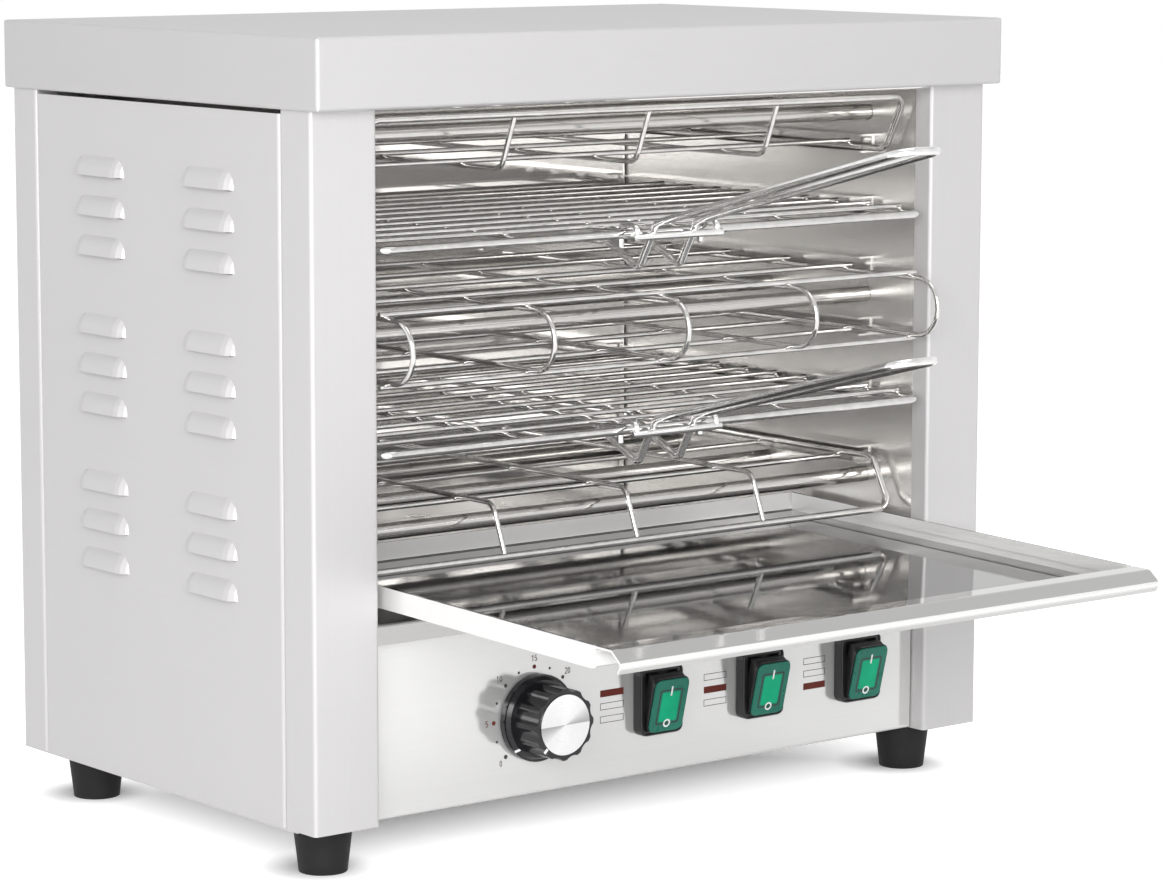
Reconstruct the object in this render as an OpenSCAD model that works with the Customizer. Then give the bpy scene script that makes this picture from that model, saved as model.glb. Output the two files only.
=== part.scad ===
// Two-level bar toaster grill with pull-out wire racks and a crumb tray.
// Millimetres, +Z up, front towards -Y, feet standing on z = 0.
// The modules are written in casing coordinates: x = 0 in the middle,
// y = 0 at the front face of the posts, z = 0 at the underside of the posts.

/* [Casing] */
// Width across the side panels
body_w = 444; // [430:1:470]
// Depth from the front face to the rear face of the posts
body_d = 274; // [270:1:300]
// Height from the underside of the posts to the lower edge of the lid
body_h = 353; // [352:1:380]
// Thickness of the casing sheet
sheet_t = 1; // [0.8:0.1:1.2]
// Outer radius of the folded edges
fold_r = 2; // [1.6:0.1:2.5]
// Width of the front face of a post
post_w = 39; // [36:1:42]
// Depth of the side face of a front post
front_post_d = 26; // [22:1:30]
// Depth of the side face of a rear post
rear_post_d = 23; // [20:1:28]
// Depth of the inward return of a front post
post_return = 12; // [11.5:0.5:15]
// Width of the hidden inner flanges
flange_w = 12; // [8:1:14]
// Gap at the seams between casing sheets
seam_gap = 0.4; // [0.2:0.1:0.6]
// Clearance of sheets that slip between the liners
slip = 0.2; // [0.1:0.05:0.3]

/* [Lid] */
// Height of the lid
lid_h = 35.5; // [30:0.5:42]
// Gap between the side panels and the lid
lid_gap = 2.2; // [1.5:0.1:3]
// Overhang of the lid at each side
lid_side = 3; // [2.5:0.5:6]
// Overhang of the lid at the front
lid_front = 10.4; // [8:0.1:13]
// Overhang of the lid behind the rear panel
lid_back = 3; // [2.5:0.5:6]

/* [Louvres] */
// Length of a louvre
louvre_l = 47; // [40:1:54]
// Radius of the hood of a louvre
louvre_r = 14.2; // [13.6:0.1:15]
// Depth of the hood's axis inside the panel face
louvre_in = 10.2; // [9.6:0.1:10.6]
// Height of the open slot under a hood
louvre_slot = 0.6; // [0.4:0.1:1]
// Distance of each column from the middle of the panel
louvre_col = 50; // [45:1:55]
// Spacing of the louvres in a group
louvre_pitch = 20.5; // [18:0.5:23]
// Spacing of the groups
louvre_group = 81.5; // [78:0.5:86]
// Height of the middle louvres above the middle of the side panels
louvre_up = 33; // [25:0.5:40]

/* [Feet] */
// Height of a rubber foot
foot_h = 25; // [22:0.5:27]
// Diameter of a foot at the floor
foot_d1 = 24.5; // [22:0.5:28]
// Diameter of a foot at the base plate
foot_d2 = 30.5; // [29:0.5:34]
// Distance of the foot centres from the sides of the casing
foot_side = 26; // [24:0.5:30]
// Distance of the foot centres from the front and rear of the casing
foot_inset = 31; // [28:0.5:34]
// Diameter of the foot screws
foot_screw_d = 5; // [4:0.5:6]
// Diameter of the recess for the screw head
foot_recess_d = 13; // [12:0.5:15]

/* [Front] */
// Depth of the control panel behind the front face of the posts
panel_in = 10.3; // [9:0.1:10.8]
// Gap between the control panel and the posts
panel_gap = 0.7; // [0.4:0.1:0.9]
// Distance of the base plate behind the face of the control panel
base_in = 6; // [4:0.5:8]
// Height of the top face of the cavity floor
floor_z = 100.8; // [98:0.1:102]
// Height of the front lip of the cavity floor
lip_h = 11; // [8:0.5:14]
// Depth of the lip behind the front face of the posts
lip_in = 3; // [2:0.5:5]
// Height of the knob and switches
control_z = 40; // [36:0.5:44]

/* [Timer] */
// Distance of the timer's axis from the left end of the panel
timer_in = 104; // [93:1:111]
// Diameter of the timer shaft
shaft_d = 6; // [5:0.5:7]
// Running clearance around the shaft, on the radius
shaft_clear = 0.05; // [0.02:0.01:0.1]
// Diameter of the knob skirt
skirt_d = 45; // [42:0.5:48]
// Diameter of the fluted grip
grip_d = 37; // [35:0.5:39]
// Diameter of the cap disc
cap_d = 31; // [28:0.5:32]
// Height of the knob above the panel
knob_h = 25.7; // [22:0.1:28]
// Number of scallops around the grip
scallops = 12; // [10:1:14]

/* [Switches] */
// Distance of the last switch from the right end of the panel
switch_in = 43; // [39:1:47]
// Distance of the first switch from the timer's axis
switch_first = 79; // [75:1:85]
// Width of the boot frame
boot_w = 28.5; // [28:0.1:30]
// Height of the boot frame
boot_h = 36.8; // [36.4:0.1:38]
// Depth of the boot frame in front of the panel
boot_d = 7; // [6.5:0.1:7.5]
// Width of the panel cut-out
cut_w = 22.2; // [21.6:0.1:23]
// Height of the panel cut-out
cut_h = 30.2; // [29.5:0.1:31]
// Radius swept by the rocker ends
rocker_r = 15; // [14.5:0.1:15]
// Width of a rocker's neck
rocker_w = 21; // [20:0.1:21.2]
// Width of a rocker's cap
cap_w = 23.4; // [22.8:0.1:23.8]
// Height of a rocker's cap
cap_h = 30.4; // [29.6:0.1:30.6]
// Border of the cap around the lens
lens_in = 0.5; // [0.4:0.1:1]
// Tilt of the rocker to each side
rocker_tilt = 14; // [12:0.5:14]
// Clearance around the rockers
rocker_clear = 0.3; // [0.2:0.05:0.4]

/* [Heating tubes] */
// Diameter of a heating tube
tube_d = 8.5; // [8:0.1:9]
// Depth position of the first tube
tube_y = 52; // [48:1:56]
// Spacing of the tubes
tube_pitch = 81.5; // [76:0.5:86]
// Distance of the upper tubes below the lid
tube_down = 16.5; // [13:0.5:20]
// Place of the middle tubes between the lower and the upper ones
tube_mid_part = 0.5; // [0.49:0.001:0.51]
// Height of the lower tubes
tube_lo = 136.5; // [135:0.5:138]

/* [Guards] */
// Wire of the guard frames
guard_d = 4; // [3.6:0.1:4.2]
// Wire of the guard bars
bar_d = 2.8; // [2.6:0.1:3]
// Distance of the outer guard bars from the ends of the guard wires
bar_end = 4; // [4:0.5:18]
// Distance of the guard frames from the liners
guard_side = 5; // [4.5:0.1:6.5]
// Bend radius of the guard wires
guard_bend = 8; // [7:0.5:9]
// Distance of the upper guard grid below the upper tubes
guard_under = 18.9; // [17:0.1:20]
// Distance of the middle guard's upper grid above the middle tubes
guard_over = 13.5; // [12.5:0.1:14.5]
// Height between the two grids of the middle guard
hairpin_h = 31; // [30:0.5:33]
// Reach of the hairpins in front of the posts
hairpin_nose = 16.5; // [14:0.5:18]
// Depth position of the middle guard's first cross wire
mid_first = 6; // [5:0.5:10]
// Distance of the middle guard's last cross wire from its rear end
mid_last = 40; // [30:1:50]
// Distance of the lower guard grid above the lower tubes
guard_lo_over = 12.1; // [11.5:0.1:13]
// Slant height of the upper guard's front
slant_h = 28.9; // [26:0.1:29]
// Slant height of the lower guard's front
slant_lo = 27.1; // [25:0.1:27.2]
// Depth position of the upper guard's front wire
guard_front = 15.6; // [14:0.1:17]
// Depth position of the lower guard's front wire
guard_lo_front = 24; // [23:0.5:26]
// Distance of the upper guard's first cross wire behind the first tube
cross_hi = 8; // [6:1:12]
// Distance of the lower guard's first cross wire behind the first tube
cross_lo = 14; // [8:1:16]
// Distance of the upper guard's last cross wire from its rear end
cross_hi_last = 56; // [50:1:60]
// Distance of the lower guard's last cross wire from its rear end
cross_lo_last = 52; // [46:1:58]
// Slope of the guard frames at the front
guard_slope = 62; // [58:1:66]
// Slope of the guard bars at the front
bar_slope = 68; // [62:1:70]

/* [Racks] */
// Wire of the rack frames
rack_d = 4.5; // [4:0.1:4.8]
// Wire of the rack grids
grid_d = 2.7; // [2.5:0.1:3]
// Distance of the rack frames from the liners
rack_side = 4; // [3.5:0.1:5.5]
// Distance of the racks' rear wire from the rear liner
rack_back = 14; // [10:1:20]
// Bend radius of the rack frames
rack_bend = 8; // [7:0.5:10]
// Depth of the racks' front wire behind the front face of the posts
rack_front = 2; // [1:0.5:4]
// Place of the upper rack between the grids under and over it
rack_hi_part = 0.503; // [0.48:0.001:0.53]
// Place of the lower rack between the grids under and over it
rack_lo_part = 0.497; // [0.47:0.001:0.53]
// Distance of the first grid wire from the front wire
grid_first = 18; // [16:0.5:20]
// Distance of the last grid wire from the rear wire
grid_last = 28; // [24:0.5:32]

/* [Rack handles] */
// Wire of the handles
handle_d = 4; // [3.6:0.1:4.2]
// Reach of the handles in front of the posts
handle_reach = 190; // [170:1:210]
// Rise of the handles
handle_rise = 14.2; // [12:0.1:17]
// Half width of the handle loop
handle_hw = 13.5; // [12:0.1:13.6]
// Half distance of the hooks
hook_hw = 26.5; // [25:0.5:30]
// Wire of the hooks
hook_d = 3.6; // [3.2:0.1:3.8]
// Lean of the handle legs in front of the rack
leg_lean = 60; // [57:0.5:63]
// Length of the legs below the front wire
leg_below = 18.7; // [17:0.1:19]
// Length of the legs above the front wire
leg_above = 9; // [8:0.5:11]
// Drop of the braces towards the front
brace_drop = 25; // [24:0.5:25.5]
// Height of the hooks' cross bar along the legs
bar_up = 3.5; // [3:0.5:4]
// Length of the hooks' ends below the top of the front wire
hook_down = 8; // [6:0.5:9]
// Reach of the braces behind the front wire
brace_in = 46; // [43:1:47]

/* [Rails] */
// Inner height of a guide rail
rail_in = 8; // [7.9:0.1:8.4]
// Depth of a guide rail
rail_w = 9; // [8:0.5:9.5]
// Front end of the guide rails
rail_y = 47; // [40:1:55]
// Clearance under a sliding wire
rail_clear = 0.3; // [0.2:0.05:0.4]

/* [Crumb tray] */
// Distance of the tray from the liners
tray_side = 6.4; // [5.5:0.1:9]
// Height of the tray walls
tray_h = 11; // [10:0.1:11.2]
// Distance of the closed tray from the rear liner
tray_back = 4; // [3:0.5:12]
// Distance of the closed tray's front wall in front of the posts
tray_ahead = 5; // [4:0.5:8]
// Height of the tray's underside at the front face of the posts
tray_z = 107.2; // [106:0.1:107.3]
// Fall of the tray towards the front
tray_fall = 1.45; // [1:0.05:1.5]
// How far the tray is pulled out
tray_out = 155; // [150:1:160]
// Clearance under the tray
tray_clear = 0.3; // [0.2:0.05:0.5]

/* [Supply] */
// Distance of the cable gland from the right side of the casing
gland_in = 72; // [67:1:87]
// Height of the cable gland
gland_z = 30; // [26:1:34]
// Reach of the cable gland behind the rear panel
gland_out = 16; // [14:0.5:18]
// Bore of the cable gland
gland_bore = 8; // [7:0.5:9]
// Thread of the cable gland
gland_thread = 16; // [14:0.5:16]

/* [Hidden] */
half_w = body_w / 2;
cav_hw = half_w - post_w;
liner_x = cav_hw + sheet_t;
post_top = body_h + lid_h - sheet_t;
rear_y = body_d + sheet_t;
liner_y = body_d - 12;
ceiling_z = body_h - 2;
floor_under = floor_z - sheet_t;
liner_z0 = floor_under - 12;
liner_top = ceiling_z + 9;
panel_y = panel_in;
panel_back = panel_in + sheet_t;
front_y = (handle_reach - rear_y - gland_out) / 2;
weld = 0.4;
small = 0.01;
fit = 0.1;
side_y0 = front_post_d + seam_gap;
side_y1 = body_d - rear_post_d - seam_gap;
louvre_z = body_h / 2 + louvre_up - louvre_group - louvre_pitch;
rail_end = liner_y - 7;
rail_h = rail_in + 2 * sheet_t;
guard_rear = liner_y - 10;
timer_x = timer_in - cav_hw;
switch_x = timer_x + switch_first;
switch_pitch = (cav_hw - switch_in - switch_x) / 2;
guard_hw = cav_hw - guard_side;
bar_pitch = (guard_hw - bar_end) / 2;
tube_hi = body_h - tube_down;
tube_mid = tube_lo + tube_mid_part * (tube_hi - tube_lo);
guard_hi = tube_hi - guard_under;
guard_mid = tube_mid + guard_over;
guard_lo = tube_lo + guard_lo_over;
bar_rise = guard_d / 2 + bar_d / 2 - weld;
bar_step = bar_d - weld;
hairpin_lo = guard_mid - hairpin_h;
rack_hw = cav_hw - rack_side;
rack_depth = liner_y - rack_back - rack_front;
rack_hi = guard_mid + rack_hi_part * (guard_hi - guard_mid);
rack_lo = guard_lo + rack_lo_part * (hairpin_lo - guard_lo);
rack_mid = (rack_hw + 1) / 2;
grid_pitch = (rack_depth - grid_first - grid_last) / 8;
grid_rise = rack_d / 2 + grid_d / 2 - weld;
rail_top_guard = guard_hi - guard_d / 2 - fit - sheet_t;
rail_rack_hi = rack_hi - rack_d / 2 - rail_clear - sheet_t;
rail_mid_hi = guard_mid - bar_d / 2 - fit - sheet_t;
rail_mid_lo = hairpin_lo - bar_step - bar_d / 2 - fit - sheet_t;
rail_rack_lo = rack_lo - rack_d / 2 - rail_clear - sheet_t;
rail_low_guard = guard_lo - bar_rise - bar_d / 2 - fit - sheet_t;
rail_levels = [rail_top_guard, rail_rack_hi, rail_mid_hi, rail_mid_lo, rail_rack_lo, rail_low_guard];
bar_xs = [-bar_pitch, 0, bar_pitch];
hairpin_xs = [-2 * bar_pitch, -bar_pitch, 0, bar_pitch, 2 * bar_pitch];
tube_ys = [tube_y, tube_y + tube_pitch, tube_y + 2 * tube_pitch];
tube_zs = [tube_hi, tube_mid, tube_lo];
tube_end = liner_x + 19;
pin_end = liner_x + 31;
switch_xs = [switch_x, switch_x + switch_pitch, switch_x + 2 * switch_pitch];
pivot_y = panel_y - 4.3;
boot_front = panel_y - boot_d;
cap_back = 6.2;
cap_front = cap_back + 1.4;
lens_front = cap_front + 1;
rear_screw_x = half_w - 20;
rear_screw_low = 25;
rear_screw_pitch = (body_h - 13 - rear_screw_low) / 3;
rear_screw_zs = [for (k = [0:3]) rear_screw_low + k * rear_screw_pitch];
tray_hw = cav_hw - tray_side;
tray_depth = liner_y - tray_back + tray_ahead;
tray_rear = tray_depth - tray_out - tray_ahead;
gland_x = half_w - gland_in;
block_x = gland_x - 60;
block_y = body_d - 60;
tray_front = tray_rear - tray_depth;
loom_y = 62;
loom_z = 22;
riser_x = liner_x + 18;
riser_y = tube_y + tube_pitch / 2;

function unit(v) = v / norm(v);
function left_of(v) = [-v.y, v.x];
function turn(a, b) = atan2(a.x * b.y - a.y * b.x, a * b);
function rot2(v, a) = [v.x * cos(a) - v.y * sin(a), v.x * sin(a) + v.y * cos(a)];
function bend_cut(a, b, c, r) = r * tan(abs(turn(unit(b - a), unit(c - b))) / 2);
function bend_centre(a, b, c, r) =
    b - unit(b - a) * bend_cut(a, b, c, r) + left_of(unit(b - a)) * r * sign(turn(b - a, c - b));
function bend_points(a, b, c, r, n) = [
    for (i = [0:n])
        bend_centre(a, b, c, r)
        + rot2(-left_of(unit(b - a)) * r * sign(turn(b - a, c - b)), turn(b - a, c - b) * i / n)
];
function round_path(p, r, n = 4) = [
    for (i = [0:len(p) - 1])
        for (q = i == 0 || i == len(p) - 1 ? [p[i]] : bend_points(p[i - 1], p[i], p[i + 1], r, n)) q
];
function mitre(a, b, c, t) =
    b + (left_of(unit(b - a)) + left_of(unit(c - b))) * t / (1 + left_of(unit(b - a)) * left_of(unit(c - b)));
function offset_path(p, t) = [
    for (i = [0:len(p) - 1])
        i == 0 ? p[0] + left_of(unit(p[1] - p[0])) * t
        : i == len(p) - 1 ? p[i] + left_of(unit(p[i] - p[i - 1])) * t
        : mitre(p[i - 1], p[i], p[i + 1], t)
];
function rrect(x0, y0, x1, y1, r, n = 4) = [
    for (k = [0:3])
        for (i = [0:n])
            [k == 0 || k == 3 ? x1 - r : x0 + r, k < 2 ? y1 - r : y0 + r]
            + r * [cos(90 * k + 90 * i / n), sin(90 * k + 90 * i / n)]
];

// Places casing coordinates on the floor, centred on the whole object
module in_body() translate([0, front_y, foot_h + sheet_t]) children();

// Turns a drawing in (y, z) to stand across the grill at x
module yz(x) translate([x, 0, 0]) rotate([90, 0, 90]) children();

// Turns a drawing in (x, z) to reach forward from y
module xz(y) translate([0, y, 0]) rotate([90, 0, 0]) children();

module box(a, b) translate(a) cube(b - a);

module rod_x(x0, x1, y, z, d)
    translate([x0, y, z]) rotate([0, 90, 0]) cylinder(d = d, h = x1 - x0, $fn = 48);

module rod_y(y0, y1, x, z, d)
    translate([x, y0, z]) rotate([-90, 0, 0]) cylinder(d = d, h = y1 - y0, $fn = 48);

module rod_z(z0, z1, x, y, d) translate([x, y, z0]) cylinder(d = d, h = z1 - z0, $fn = 48);

// Folded sheet along a path, thickness to the left of it
module sheet(p, t) {
    q = round_path(p, fold_r);
    o = offset_path(q, t);
    polygon(concat(q, [for (i = [len(o) - 1:-1:0]) o[i]]));
}

module wire_rod(p, q, d)
    translate(p) rotate([0, 0, atan2(q.y - p.y, q.x - p.x)]) rotate([0, 90, 0])
        cylinder(d = d, h = norm(q - p), $fn = 48);

module wire_bend(a, b, c, r, d) {
    t = turn(b - a, c - b);
    n = -left_of(unit(b - a)) * sign(t);
    translate(bend_centre(a, b, c, r)) rotate([0, 0, atan2(n.y, n.x) + min(t, 0)])
        rotate_extrude(angle = abs(t), $fn = 96) translate([r, 0]) circle(d = d, $fn = 48);
}

// Bent wire along a path in its own plane
module wire(p, d, r) {
    n = len(p);
    cut = [for (i = [0:n - 1]) i == 0 || i == n - 1 ? 0 : bend_cut(p[i - 1], p[i], p[i + 1], r)];
    for (i = [0:n - 2]) {
        u = unit(p[i + 1] - p[i]);
        wire_rod(p[i] + u * cut[i], p[i + 1] - u * cut[i + 1], d);
    }
    for (i = [1:n - 2]) wire_bend(p[i - 1], p[i], p[i + 1], r, d);
}

// Bent wire in space: each step is a length, a left turn, its radius and the roll before it.
// A slanted bend is closed by a bead a little thicker than the wire.
module chain(steps, d, i = 0, skip = 0) {
    go = steps[i];
    bead = go[1] == 90 ? 0 : 0.1;
    translate([skip, 0, 0]) rotate([0, 90, 0]) cylinder(d = d, h = go[0] - skip, $fn = 48);
    if (i < len(steps) - 1) translate([go[0], 0, 0]) rotate([go[3], 0, 0]) translate([0, go[2], 0]) {
        rotate([0, 0, -90]) rotate_extrude(angle = go[1], $fn = 96)
            translate([go[2], 0]) circle(d = d, $fn = 48);
        rotate([0, 0, go[1]]) translate([0, -go[2], 0]) {
            if (bead > 0) translate([bead, 0, 0]) sphere(d = d + 0.06, $fn = 48);
            chain(steps, d, i + 1, 2 * bead);
        }
    }
}

// Block with every edge rounded
module soft_box(a, b, r) intersection() {
    translate([0, 0, a.z]) linear_extrude(b.z - a.z) polygon(rrect(a.x, a.y, b.x, b.y, r));
    yz(a.x) linear_extrude(b.x - a.x) polygon(rrect(a.y, a.z, b.y, b.z, r));
    xz(b.y) linear_extrude(b.y - a.y) polygon(rrect(a.x, a.z, b.x, b.z, r));
}

module lid() color("gainsboro") in_body() {
    outer_x = half_w + lid_side;
    outer_y = rear_y + lid_back;
    difference() {
        soft_box([-outer_x, -lid_front, body_h], [outer_x, outer_y, body_h + lid_h], fold_r);
        box([-outer_x + sheet_t, -lid_front + sheet_t, body_h + sheet_t],
            [outer_x - sheet_t, outer_y - sheet_t, post_top]);
        box([-half_w - seam_gap, -seam_gap, body_h - 1],
            [half_w + seam_gap, rear_y + seam_gap, body_h + sheet_t + 1]);
    }
}

// Hood of a louvre turned about its long axis, with ramped ends
module louvre_turn(r) {
    low = louvre_in - sheet_t + r - louvre_r;
    h = louvre_l / 2 - (louvre_r - r);
    rotate([-90, 0, 0]) rotate_extrude($fn = 72) polygon([
        [0, -h], [low, -h], [r - 2.4, 2 - h], [r - 0.6, 5 - h], [r, 8.5 - h],
        [r, h - 8.5], [r - 0.6, h - 5], [r - 2.4, h - 2], [low, h], [0, h]
    ]);
}

module at_louvres(s) {
    mid_y = (side_y0 + side_y1) / 2;
    for (c = [-1, 1])
        for (g = [0:2])
            for (k = [0:2])
                translate([s * (half_w - louvre_in), mid_y + c * louvre_col,
                    louvre_z + g * louvre_group + k * louvre_pitch]) children();
}

module side_panel(s) color("whitesmoke") in_body() {
    reach = louvre_r + 1;
    x0 = min(s * (louvre_in - sheet_t / 2), s * reach);
    difference() {
        union() {
            linear_extrude(body_h - lid_gap) sheet([
                [s * (half_w - flange_w), side_y0], [s * half_w, side_y0],
                [s * half_w, side_y1], [s * (half_w - flange_w), side_y1]
            ], s * sheet_t);
            at_louvres(s) intersection() {
                louvre_turn(louvre_r);
                translate([x0, -louvre_l, 0]) cube([reach - louvre_in + sheet_t / 2, 2 * louvre_l, reach]);
            }
        }
        at_louvres(s) intersection() {
            louvre_turn(louvre_r - sheet_t);
            translate([min(0, s * reach), -louvre_l, -louvre_slot]) cube([reach, 2 * louvre_l, reach]);
        }
    }
}

module left_side_panel() side_panel(-1);

module right_side_panel() side_panel(1);

module rear_panel() color("gainsboro") in_body() difference() {
    box([-half_w + 10, body_d, 2], [half_w - 10, rear_y, body_h + 10]);
    for (s = [-1, 1])
        for (z = rear_screw_zs) rod_y(body_d - 1, rear_y + 1, s * rear_screw_x, z, 4 + fit);
    rod_y(body_d - 1, rear_y + 1, gland_x, gland_z, gland_thread + fit);
}

module front_post(s) color("whitesmoke") in_body() linear_extrude(post_top) sheet([
    [s * cav_hw, post_return], [s * cav_hw, 0], [s * half_w, 0],
    [s * half_w, front_post_d], [s * (half_w - flange_w), front_post_d]
], s * sheet_t);

module front_left_post() front_post(-1);

module front_right_post() front_post(1);

module rear_post(s) color("whitesmoke") in_body() difference() {
    linear_extrude(post_top) sheet([
        [s * (half_w - flange_w), body_d - rear_post_d], [s * half_w, body_d - rear_post_d],
        [s * half_w, body_d], [s * cav_hw, body_d]
    ], s * sheet_t);
    for (z = rear_screw_zs) rod_y(body_d - 4, body_d + 1, s * rear_screw_x, z, 4 + fit);
}

module rear_left_post() rear_post(-1);

module rear_right_post() rear_post(1);

module at_feet() for (s = [-1, 1])
    for (y = [foot_inset, body_d - foot_inset]) translate([s * (half_w - foot_side), y, 0]) children();

module base_plate() color("gainsboro") in_body() difference() {
    box([-half_w + 0.5, panel_y + base_in, -sheet_t], [half_w - 0.5, body_d, 0]);
    at_feet() rod_z(-sheet_t - 1, 1, 0, 0, foot_screw_d + fit);
}

module control_panel() color("gainsboro") in_body() difference() {
    yz(panel_gap - cav_hw) linear_extrude(2 * (cav_hw - panel_gap))
        sheet([[panel_y + flange_w, 0], [panel_y, 0], [panel_y, floor_under]], -sheet_t);
    rod_y(panel_y - 1, panel_back + 1, timer_x, control_z, 10 + fit);
    for (s = [-1, 1]) rod_y(panel_y - 1, panel_back + 1, timer_x + s * 14, control_z, 3 + fit);
    for (x = switch_xs) translate([x, 0, control_z])
        box([-cut_w / 2, panel_y - 1, -cut_h / 2], [cut_w / 2, panel_back + 1, cut_h / 2]);
}

module cavity_floor() color("gainsboro") in_body() yz(slip - cav_hw) linear_extrude(2 * (cav_hw - slip))
    sheet([[lip_in, floor_z - lip_h], [lip_in, floor_z], [liner_y - 1 - slip, floor_z]], -sheet_t);

module tube_holes(s) for (y = tube_ys)
    for (z = tube_zs) translate([s * (liner_x + sheet_t / 2), 0, 0]) rod_x(-3, 3, y, z, tube_d + 0.6);

module side_liner(s) color("silver") in_body() difference() {
    translate([0, 0, liner_z0]) linear_extrude(liner_top - liner_z0) sheet([
        [s * liner_x, 2], [s * liner_x, liner_y], [s * (liner_x - flange_w), liner_y]
    ], -s * sheet_t);
    tube_holes(s);
}

module left_liner() side_liner(-1);

module right_liner() side_liner(1);

module rear_liner() color("silver") in_body() {
    hw = liner_x - slip - fold_r;
    box([-hw, liner_y - sheet_t, liner_z0], [hw, liner_y, liner_top]);
}

module top_reflector() color("silver") in_body() yz(slip - cav_hw) linear_extrude(2 * (cav_hw - slip))
    sheet([[2, post_top], [2, ceiling_z], [liner_y - 1 - slip, ceiling_z]], sheet_t);

module guide_rails(s) color("silver") in_body() for (z = rail_levels)
    translate([0, rail_end, z]) rotate([90, 0, 0]) linear_extrude(rail_end - rail_y) difference() {
        x0 = min(s * liner_x, s * (liner_x - rail_w));
        translate([x0, 0]) square([rail_w, rail_h]);
        translate([s > 0 ? x0 - 1 : x0 + sheet_t, sheet_t]) square([rail_w - sheet_t + 1, rail_in]);
    }

module left_guide_rails() guide_rails(-1);

module right_guide_rails() guide_rails(1);

// Tilts the tray and its runners about the front face of the posts
module on_tray() in_body() translate([0, 0, tray_z]) rotate([tray_fall, 0, 0]) children();

module tray_runner(s) color("silver") on_tray() translate([0, rail_end, 0]) rotate([90, 0, 0])
    linear_extrude(rail_end - post_return - 2) {
        x0 = min(s * liner_x, s * (liner_x - 16));
        translate([x0, -tray_clear - sheet_t]) square([16, sheet_t]);
        translate([s > 0 ? liner_x - sheet_t : -liner_x, -tray_clear - sheet_t]) square([sheet_t, 9]);
    }

module left_tray_runner() tray_runner(-1);

module right_tray_runner() tray_runner(1);

module tubes(z) color("dimgray") in_body() for (y = tube_ys) {
    rod_x(-tube_end, tube_end, y, z, tube_d);
    rod_x(-pin_end, 1 - tube_end, y, z, 3);
    rod_x(tube_end - 1, pin_end, y, z, 3);
}

module upper_heating_tubes() tubes(tube_hi);

module middle_heating_tubes() tubes(tube_mid);

module lower_heating_tubes() tubes(tube_lo);

module at_tube_ends() for (s = [-1, 1])
    for (y = tube_ys)
        for (z = tube_zs) translate([s * (liner_x + sheet_t), y, z]) rotate([0, s * 90, 0]) children();

module ring(d, bore, h) difference() {
    cylinder(d = d, h = h, $fn = 48);
    translate([0, 0, -1]) cylinder(d = bore, h = h + 2, $fn = 48);
}

module tube_bushings() color("gray") in_body() at_tube_ends() ring(14, tube_d + fit, 8);

module tube_insulators() color("white") in_body() at_tube_ends()
    translate([0, 0, tube_end - liner_x - sheet_t]) ring(tube_d, 3 + fit, 8);

// Wire guard with a grid and a front that slants up (s = 1) or down (s = -1)
module tube_guard(z, s, rise, front_wire_y, bar_first, bar_last) {
    r = guard_bend;
    cut = r * tan(guard_slope / 2);
    up = rise / sin(guard_slope) - cut - r;
    flat = guard_rear - front_wire_y - rise / tan(guard_slope) - cut;
    translate([-guard_hw, guard_rear, z]) rotate([90, 0, -90]) chain([
        [flat, guard_slope, r, 90 - 90 * s], [up, 90, r, -90 * s], [2 * guard_hw - 2 * r, 90, r, 0],
        [up, guard_slope, r, 90 * s], [flat]
    ], guard_d);
    bar_off = bar_rise - bar_step;
    bar_cut = r * tan(bar_slope / 2);
    bar_up = (rise - bar_off) / sin(bar_slope) - bar_cut;
    bar_flat = guard_rear - front_wire_y - (rise - bar_off) / tan(bar_slope) - bar_cut;
    for (x = bar_xs) translate([x, guard_rear, z + s * bar_off]) rotate([90, 0, -90])
        chain([[bar_flat, bar_slope, r, 90 - 90 * s], [bar_up]], bar_d);
    for (y = [bar_first, (bar_first + bar_last) / 2, bar_last])
        rod_x(-guard_hw, guard_hw, y, z + s * bar_rise, bar_d);
}

module upper_guard() color("lightgray") in_body()
    tube_guard(guard_hi, 1, slant_h, guard_front, tube_y + cross_hi, guard_rear - cross_hi_last);

module lower_guard() color("lightgray") in_body()
    tube_guard(guard_lo, -1, slant_lo, guard_lo_front, tube_y + cross_lo, guard_rear - cross_lo_last);

module middle_guard() color("lightgray") in_body() {
    nose = -hairpin_nose;
    gap = (guard_rear - mid_last - mid_first) / 4;
    for (x = hairpin_xs) yz(x) wire([
        [guard_rear, guard_mid], [nose, guard_mid], [nose, hairpin_lo], [guard_rear, hairpin_lo]
    ], bar_d, hairpin_h / 2 - 0.1);
    for (i = [0:4])
        for (z = [guard_mid + bar_step, hairpin_lo - bar_step])
            rod_x(-guard_hw, guard_hw, mid_first + i * gap, z, bar_d);
}

module rack(z) color("lightgray") in_body() {
    y1 = rack_front + rack_depth;
    translate([0, 0, z]) wire([
        [0, rack_front], [rack_hw, rack_front], [rack_hw, y1],
        [-rack_hw, y1], [-rack_hw, rack_front], [0, rack_front]
    ], rack_d, rack_bend);
    for (i = [0:8]) rod_x(-rack_hw, rack_hw, rack_front + grid_first + i * grid_pitch, z + grid_rise, grid_d);
    for (x = [-rack_mid, -handle_hw - handle_d, handle_hw + handle_d, rack_mid])
        rod_y(rack_front, y1, x, z + grid_rise - grid_d + weld, grid_d);
}

module upper_rack() rack(rack_hi);

module lower_rack() rack(rack_lo);

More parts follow.
